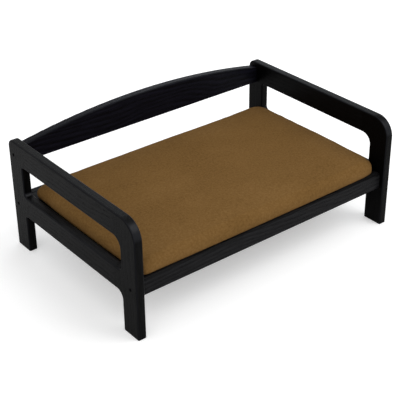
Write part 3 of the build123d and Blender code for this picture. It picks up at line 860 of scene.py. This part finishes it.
@dataclass
class CushionCover:
    """The sewn cover, blown up over its foam by a cloth simulation.

    Attributes:
        start: How far outside the foam the cloth lies before it swells.
        mesh_size: The side of a remeshed face.
        swell: The most that a point moves outwards.
        give: The most that it moves inwards, where the foam holds it.
        slip: The most that it slides along the foam.
        frames: How long the simulation runs.
        spare: How far the cloth may pass the solid cover's ends and front.
        hollow: How deep the faint wide hollows in the top are.
        ripple: How deep the finer ones are.
        sag: How far the foot sinks onto the slats, where it is rounded.
        bulge: How far the lower part of the sides stands out.
        foot: The height up to which the two are felt.
        loft: How far the filled cover's top stands over the foam's.
        pinch: How far the top sinks at a corner.
        fuller: How far the right end's top stands over the rest.
        tuck: How far a corner at the right end is drawn in towards the middle.
        reach: How far from a corner the two are felt.
        corner: The foam's corner radius in plan.
        square: The power of the curve that squares the corners at the left end.
        seam_rise: The height of the sewn line over the slats.
        lip: How high the soft lip above and below the zip is.
    """

    start: float = 0.0018
    mesh_size: float = 0.0068
    swell: float = 0.0024
    give: float = 0.0006
    slip: float = 0.0015
    frames: int = 20
    spare: float = 0.004
    hollow: float = 0.0008
    ripple: float = 0.0002
    sag: float = 0.005
    bulge: float = 0.002
    foot: float = 0.026
    loft: float = 0.0024
    pinch: float = 0.011
    fuller: float = 0.0028
    tuck: float = 0.006
    reach: float = 0.06
    corner: float = 0.022
    square: float = 5.0
    seam_rise: float = 0.0024
    lip: float = 0.006

    def blow_up(self, obj: Piece) -> None:
        """Swells the cover by air pressure and keeps each point on the foam."""
        cloth = obj.modifiers.new("cloth", "CLOTH")
        cloth.settings.quality = 4
        cloth.settings.mass = 0.3
        cloth.settings.use_pressure = True
        cloth.settings.uniform_pressure_force = 4.0
        cloth.settings.effector_weights.gravity = 0.0
        cloth.point_cache.frame_start = 1
        cloth.point_cache.frame_end = self.frames
        rest = [(vertex.co.copy(), vertex.normal.copy()) for vertex in obj.data.vertices]
        for step in range(1, self.frames + 1):
            bpy.context.scene.frame_set(step)
        apply_all(obj)
        bpy.context.scene.frame_set(1)
        for vertex, (start, outward) in zip(obj.data.vertices, rest):
            vertex.co = start + self.held(vertex.co - start, outward)

    def held(self, move: Vector, outward: Vector) -> Vector:
        """Eases a point's move, which the cloth limits outwards and the foam inwards.

        Args:
            move: How far the simulation moved the point.
            outward: The direction away from the foam there.

        Returns:
            The move that is kept.
        """
        out = move.dot(outward)
        slide = move - outward * out
        limit = self.swell if out > 0 else self.give
        kept = outward * (limit * math.tanh(out / limit))
        far = slide.length
        if far > 1e-9:
            kept += slide * (self.slip * math.tanh(far / self.slip) / far)
        return kept

    def settle(self, obj: Piece) -> None:
        """Adds faint hollows on top, and keeps the sides in the frame and the foot flat."""
        low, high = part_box("cushion_cover")
        for vertex in obj.data.vertices:
            spot = vertex.co
            if spot.z > (low.z + high.z) / 2:
                soft = noise.noise(Vector((spot.x * 7.0, spot.y * 7.0, 0.3)))
                fine = noise.noise(Vector((spot.x * 26.0, spot.y * 26.0, 4.1)))
                spot.z += self.hollow * soft + self.ripple * fine
            spot.x = max(low.x - self.spare, min(high.x + self.spare, spot.x))
            spot.y = max(low.y - self.spare, min(high.y, spot.y))
            spot.z = max(low.z, spot.z)

    def draw_corners(self, obj: Piece) -> None:
        """Lofts the top, and pinches, squares or tucks the corners, as a filled cover does."""
        low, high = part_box("cushion_cover")
        for vertex in obj.data.vertices:
            spot = vertex.co
            end = Vector((high.x if spot.x > 0 else low.x, high.y if spot.y > 0 else low.y))
            ease = eased(1.0 - (spot.xy - end).length / self.reach)
            rise = (spot.z - low.z) / (high.z - low.z)
            way = Vector((math.copysign(1.0, end.x), math.copysign(1.0, end.y)))
            if spot.x > 0:
                gain = clamp((spot.x - high.x + 0.13) / 0.09)
                spot.z += (self.loft + self.fuller * gain - 0.7 * self.pinch * ease) * rise
                spot.y -= way.y * self.tuck * ease
                continue
            spot.z += (self.loft - self.pinch * ease) * rise
            centre = end - way * self.corner
            out = Vector(((spot.x - centre.x) * way.x, (spot.y - centre.y) * way.y))
            if min(out) > 0.0:
                length = out.length
                grown = sum((part / length) ** self.square for part in out) ** (-1.0 / self.square)
                spot.x = centre.x + way.x * out.x * grown
                spot.y = centre.y + way.y * out.y * grown

    def sink(self, obj: Piece) -> None:
        """Lets the foot sink and the sides stand out, under the cushion's own weight."""
        low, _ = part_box("cushion_cover")
        moved = [(vertex.co.copy(), vertex.normal.copy()) for vertex in obj.data.vertices]
        for vertex, (spot, normal) in zip(obj.data.vertices, moved):
            ease = eased(1.0 - (spot.z - low.z) / self.foot)
            ends, front = clamp(abs(normal.x) * 1.5), clamp(-1.5 * normal.y)
            drop = self.sag * max(ends, 0.5 * front)
            aside = Vector((normal.x, min(0.0, normal.y), 0.0)) * (self.bulge * ease)
            vertex.co = spot + aside - Vector((0.0, 0.0, drop * ease))

    def open_zip(self, obj: Piece) -> None:
        """Presses the strip for the zip flat, with a soft lip above and below it."""
        low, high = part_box("zip_tape")
        zip_z = (low.z + high.z) / 2
        for vertex in obj.data.vertices:
            spot = vertex.co
            if spot.y < high.y - 0.02 or abs(spot.x) > high.x + self.lip:
                continue
            off = abs(spot.z - zip_z) - RearZip.half_tape
            if off < 0.0012:
                spot.y = min(spot.y, low.y - 0.0002)
            elif off < self.lip:
                spot.y = min(spot.y, low.y + 0.0009)

    def build(self) -> None:
        """Makes, swells, settles and dresses the cover."""
        obj = foam_form("cushion_cover_cloth", self.mesh_size, self.start)
        self.blow_up(obj)
        self.draw_corners(obj)
        self.sink(obj)
        self.settle(obj)
        divide = obj.modifiers.new("divide", "SUBSURF")
        divide.levels = 1
        divide.render_levels = 1
        apply_all(obj)
        self.settle(obj)
        self.open_zip(obj)
        stand_alone(obj)
        bpy.ops.object.shade_smooth()
        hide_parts("cushion_cover")
        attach(obj, "cushion")
        low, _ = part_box("cushion_cover")
        dress(obj, BrownSuede(low.z + self.seam_rise).make())
        log.info("sewed the cover: %d faces", len(obj.data.polygons))


@dataclass
class FoamCore:
    """The foam block inside the cover.

    Attributes:
        play: How far it stays inside the foam solid, so that the cloth clears it.
        mesh_size: The side of a remeshed face.
    """

    play: float = 0.004
    mesh_size: float = 0.008

    def build(self) -> None:
        """Makes and dresses the block."""
        obj = foam_form("foam_core_block", self.mesh_size, -self.play)
        CushionCover().draw_corners(obj)
        smooth(obj, 60.0)
        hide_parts("foam_core")
        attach(obj, "cushion")
        dress(obj, OpenCellFoam().make())
        log.info("cut the foam core: %d faces", len(obj.data.polygons))


@dataclass
class RearZip:
    """The zip in the cover's rear side: tape, teeth, stops and the rows of stitches.

    Attributes:
        half_tape: Half the tape's width.
        tape_thickness: The tape's thickness.
        tooth_step: The distance from one tooth to the next of the same row.
        tooth_length: A tooth's length across the tape.
        tooth_width: A tooth's width along the tape.
        tooth_height: How far a tooth stands out from its foot.
        tooth_foot: How far a tooth's foot lies over the tape's back.
        tooth_lap: How far a tooth's tip reaches past the middle, into the other row.
        stop_length: The length of a stop.
        half_stop: Half its width across the tape.
        stitch_step: The distance from one stitch to the next.
        stitch_length: The length of a stitch.
        stitch_off: How far each row of stitches lies from the middle of the tape.
        thread_radius: The radius of the thread.
    """

    half_tape: float = 0.005
    tape_thickness: float = 0.0007
    tooth_step: float = 0.0016
    tooth_length: float = 0.0029
    tooth_width: float = 0.00095
    tooth_height: float = 0.0011
    tooth_foot: float = 0.0008
    tooth_lap: float = 0.00045
    stop_length: float = 0.004
    half_stop: float = 0.0025
    stitch_step: float = 0.0034
    stitch_length: float = 0.0027
    stitch_off: float = 0.0075
    thread_radius: float = 0.00024

    def __post_init__(self) -> None:
        """Reads the zip's place from the solids."""
        self.low, self.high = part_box("zip_tape")
        self.middle = (self.low.z + self.high.z) / 2

    def tape(self) -> Piece:
        """Makes the woven tape.

        Returns:
            The tape, with soft long edges and a raised rib under each row of teeth.
        """
        back = self.low.y + self.tape_thickness
        obj = block(
            "zip_tape_woven",
            (self.low.x, self.low.y, self.middle - self.half_tape),
            (self.high.x, back, self.middle + self.half_tape),
        )
        inset_rear(obj, (0.0016, 0.0), (0.0003, 0.00015))
        outside = self.half_tape - 0.0001
        round_edges(
            obj,
            lambda a, b: abs(a.x - b.x) > 0.5
            and min(a.y, b.y) > back - 1e-5
            and abs(a.z - self.middle) > outside,
            0.0002,
            2,
        )
        smooth(obj)
        return obj

    def teeth(self) -> Piece:
        """Makes both rows of teeth.

        Returns:
            The chain as one mesh.
        """
        base = self.low.y + self.tooth_foot
        length = self.high.x - self.low.x - 2 * self.stop_length
        count = int(length / self.tooth_step) - 1
        rows = []
        for side in (1, -1):
            root = self.low.x + self.stop_length + (0.0 if side > 0 else self.tooth_step / 2)
            inner = self.middle - side * self.tooth_lap
            outer = inner + side * self.tooth_length
            obj = block(
                f"teeth_{side}",
                (root, base, min(inner, outer)),
                (root + self.tooth_width, base + self.tooth_height, max(inner, outer)),
            )
            round_edges(
                obj, lambda a, b: abs(a.z - b.z) > 0.001 and min(a.y, b.y) > base + 0.001, 0.0003, 2
            )
            repeat(obj, count, self.tooth_step)
            rows.append(obj)
        stand_alone(rows[0])
        rows[1].select_set(True)
        bpy.ops.object.join()
        chain = bpy.context.active_object
        chain.name = "zip_chain"
        smooth(chain)
        return chain

    def stops(self) -> list[Piece]:
        """Makes the clamped stop at each end.

        Returns:
            The two stops.
        """
        low, high, made = self.low, self.high, []
        for name, x in (("zip_stop_closed", high.x - self.stop_length), ("zip_stop_open", low.x)):
            obj = block(
                name,
                (x, low.y + 0.0003, self.middle - self.half_stop),
                (x + self.stop_length, high.y, self.middle + self.half_stop),
            )
            round_edges(obj, lambda a, b: min(a.y, b.y) > high.y - 1e-5, 0.0009, 4)
            inset_rear(obj, (0.0005, -0.0002))
            smooth(obj)
            made.append(obj)
        return made

    def stitches(self) -> list[Piece]:
        """Makes the two rows of stitches that hold the tape.

        Returns:
            The rows.
        """
        centre_x = self.low.x + self.stitch_length / 2
        bpy.ops.object.select_all(action="DESELECT")
        bpy.ops.mesh.primitive_cylinder_add(
            vertices=6,
            radius=self.thread_radius,
            depth=self.stitch_length,
            rotation=(0.0, math.pi / 2, 0.0),
            location=(centre_x, self.low.y + 0.0011, self.middle + self.stitch_off),
        )
        upper = bpy.context.active_object
        place_in_mesh(upper, "zip_stitches_upper")
        for cut in (-0.3, 0.3):
            edit(upper, "SELECT")
            place = (centre_x + cut * self.stitch_length, 0.0, 0.0)
            bpy.ops.mesh.bisect(plane_co=place, plane_no=(1.0, 0.0, 0.0))
            bpy.ops.object.mode_set(mode="OBJECT")
        for vertex in upper.data.vertices:
            if abs(vertex.co.x - centre_x) > 0.45 * self.stitch_length:
                vertex.co.y -= 0.0005
        repeat(upper, int((self.high.x - self.low.x) / self.stitch_step), self.stitch_step)
        smooth(upper, 60.0)
        bpy.ops.object.duplicate(linked=False)
        lower = bpy.context.active_object
        bpy.ops.transform.translate(value=(0.0, 0.0, -2 * self.stitch_off))
        place_in_mesh(lower, "zip_stitches_lower")
        return [upper, lower]

    def build(self) -> None:
        """Makes the zip's own pieces and finishes the whole zip."""
        tape = self.tape()
        chain = self.teeth()
        stops = self.stops()
        rows = self.stitches()
        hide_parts("zip_tape")
        for piece in (tape, chain, *stops, *rows):
            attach(piece, "cushion")
            log.info("made %s: %d faces", piece.name, len(piece.data.polygons))
        metal = FastenerSteel(
            "dull_zip_metal", (0.40, 0.35, 0.28, 1.0), (0.26, 0.22, 0.17, 1.0), 1.0, 0.42
        ).make()
        dress(tape, WovenTape("woven_tape", (0.105, 0.056, 0.022, 1.0), 0.00055).make())
        dress(chain, MouldedCoil().make())
        thread = WovenTape("sewing_thread", (0.150, 0.078, 0.029, 1.0), 0.0004).make()
        for row in rows:
            dress(row, thread)
        nodes = frame["nodes"]
        for piece in (*stops, nodes["zip_slider"], nodes["zip_pull"]):
            dress(piece, metal)


@dataclass
class Studio:
    """Plain pale floor, soft lamps, a white surround and the photo's camera.

    Attributes:
        floor_half: Half the floor's side.
        floor_white: The floor's own colour.
        surround: The strength of the white surround on the object.
    """

    floor_half: float = 14.0
    floor_white: float = 0.86
    surround: float = 0.76

    def lay_floor(self) -> None:
        """Lays the floor: to the camera it glows, less near the bed and more further out, a painted
        light that pales the object's shadow; from below it is clear.
        """
        bpy.ops.object.select_all(action="DESELECT")
        bpy.ops.mesh.primitive_plane_add(size=2 * self.floor_half, location=(0.0, 0.0, 0.0))
        floor = bpy.context.active_object
        floor.name = "studio_floor"
        draft = MaterialDraft("pale_floor")
        draft.fixed(Base_Color=(self.floor_white,) * 3 + (1.0,), Roughness=0.9)
        draft.fixed(Specular_IOR_Level=0.0)
        seen = draft.add("ShaderNodeLightPath").outputs["Is Camera Ray"]
        away = draft.add("ShaderNodeVectorMath", {0: draft.place}, operation="LENGTH")
        # A painted glow to the camera, which lightens the shadow on the floor and whitens the floor
        # further from the bed.
        lift = draft.times(seen, draft.spread(away.outputs["Value"], 0.6, 2.0, 0.38, 0.6))
        glow = draft.add("ShaderNodeEmission", {"Color": WHITE, "Strength": lift}).outputs[0]
        above = draft.add("ShaderNodeAddShader", {0: draft.shader.outputs[0], 1: glow}).outputs[0]
        clear = draft.add("ShaderNodeBsdfTransparent").outputs[0]
        below = draft.add("ShaderNodeNewGeometry").outputs["Backfacing"]
        shown = draft.add("ShaderNodeMixShader", {0: below, 1: above, 2: clear}).outputs[0]
        draft.tree.links.new(shown, draft.surface)
        dress(floor, draft.material)

    def light_surround(self) -> None:
        """Makes the white surround."""
        world = bpy.data.worlds.new("white_surround")
        world.use_nodes = True
        world.node_tree.nodes.clear()
        bench = NodeBench(world.node_tree)
        path = bench.add("ShaderNodeLightPath").outputs
        seen = bench.calc("MAXIMUM", path["Is Camera Ray"], path["Is Transmission Ray"])
        strength = bench.calc("ADD", self.surround, bench.times(seen, 1.0 - self.surround))
        sky = bench.add("ShaderNodeBackground", {"Color": WHITE, "Strength": strength})
        bench.add("ShaderNodeOutputWorld", {"Surface": sky.outputs[0]})
        bpy.context.scene.world = world

    def hang_lamp(
        self, name: str, place: Triple, side: float, power: float, tint: Triple = WHITE[:3]
    ) -> None:
        """Hangs one square soft lamp that points at the bed.

        Args:
            name: The lamp's name.
            place: Where it hangs.
            side: Its side.
            power: Its power, in watts.
            tint: Its colour.
        """
        lamp = bpy.data.lights.new(name, "AREA")
        lamp.shape = "SQUARE"
        lamp.size = side
        lamp.energy = power
        lamp.color = tint
        obj = bpy.data.objects.new(name, lamp)
        bpy.context.scene.collection.objects.link(obj)
        obj.location = place
        aim = Vector((0.0, 0.0, 0.15)) - Vector(place)
        obj.rotation_mode = "QUATERNION"
        obj.rotation_quaternion = aim.to_track_quat("-Z", "Y")

    def set_camera(self) -> None:
        """Sets the camera where the photo was taken."""
        place = (-1.60459, -2.01483, 1.61562)
        right = Vector((0.77934, -0.62656, -0.00712))
        up = Vector((0.30747, 0.37251, 0.87561))
        ahead = Vector((0.54598, 0.68459, -0.48296))
        lens = bpy.data.cameras.new("photo_camera")
        lens.lens = 93.093
        lens.sensor_width = 36.0
        lens.shift_x = -0.01181
        lens.shift_y = -0.06596
        camera = bpy.data.objects.new("photo_camera", lens)
        bpy.context.scene.collection.objects.link(camera)
        turn = Matrix((right, up, -ahead)).transposed().to_4x4()
        camera.matrix_world = Matrix.Translation(place) @ turn
        bpy.context.scene.camera = camera

    def build(self) -> None:
        """Builds the whole studio."""
        self.set_camera()
        self.lay_floor()
        self.light_surround()
        self.hang_lamp("key_lamp", (1.2, -1.7, 2.4), 1.8, 29.0)
        self.hang_lamp("rim_lamp", (2.3, 2.7, 2.1), 2.2, 12.5, (0.80, 0.90, 1.0))
        self.hang_lamp("side_lamp", (-2.4, -0.8, 1.8), 1.6, 4.0)
        bpy.context.scene.view_settings.view_transform = "Standard"
        log.info("set up the floor, the lamps and the camera")


def main() -> None:
    """Builds the studio and dresses the bed, piece by piece."""
    logging.basicConfig(level=logging.INFO, format="%(name)s: %(message)s")
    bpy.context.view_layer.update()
    Studio().build()
    WoodenFrame().dress()
    Fasteners().dress()
    for assembly in (CushionCover(), FoamCore(), RearZip()):
        assembly.build()


if __name__ == "__main__":
    main()
